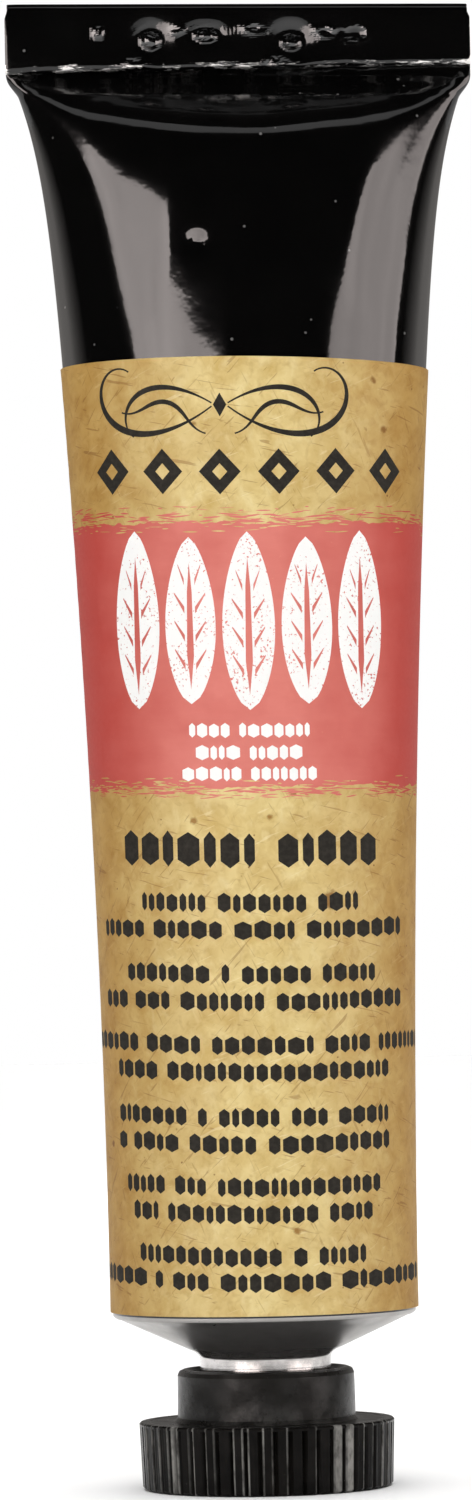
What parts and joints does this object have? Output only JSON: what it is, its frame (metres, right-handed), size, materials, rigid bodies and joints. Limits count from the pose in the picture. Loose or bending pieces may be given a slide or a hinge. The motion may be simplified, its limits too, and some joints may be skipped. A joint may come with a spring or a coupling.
{
  "type": "collapsible ink tube",
  "caption": "Collapsible metal tube of printing ink standing on its grooved screw cap, with a rolled flat end, a threaded nozzle and a wrapped paper label.",
  "frame": {"origin": "centre of the screw cap's end face, on which the tube stands", "axes": "+Z along the tube's axis from the cap to the rolled end; +X along the rolled end's width; the side the end is rolled to, the label's front, faces -Y"},
  "size_m": [0.0294, 0.0192, 0.0934],
  "materials": {
    "cap_plastic": "black moulded plastic, satin",
    "liner_foam": "white closed-cell foam",
    "tube_aluminium": "bare at the shoulder and nozzle, glossy black enamel on the body",
    "seal_latex": "dried latex",
    "red_ink": "thick wet paste",
    "label_paper": "printed kraft paper"
  },
  "bodies": {
    "cap": {"cap": "cap_plastic"},
    "liner": {"cap_liner": "liner_foam"},
    "tube": {"tube_body": "tube_aluminium", "end_seal": "seal_latex", "ink_charge": "red_ink", "label": "label_paper"}
  },
  "joints": [
    {"name": "unscrew_turn", "type": "hinge", "parent": "cap", "child": "liner", "pos_m": [0, 0, 0.00194], "axis": [0, 0, 1], "range_deg": [0, 1441]},
    {"name": "unscrew_rise", "type": "slide", "parent": "liner", "child": "tube", "axis": [0, 0, 1], "range_m": [0, 0.006]}
  ],
  "couplings": [
    {"joint": "unscrew_turn", "follows": "unscrew_rise", "rad_per_m": 4188.8}
  ]
}
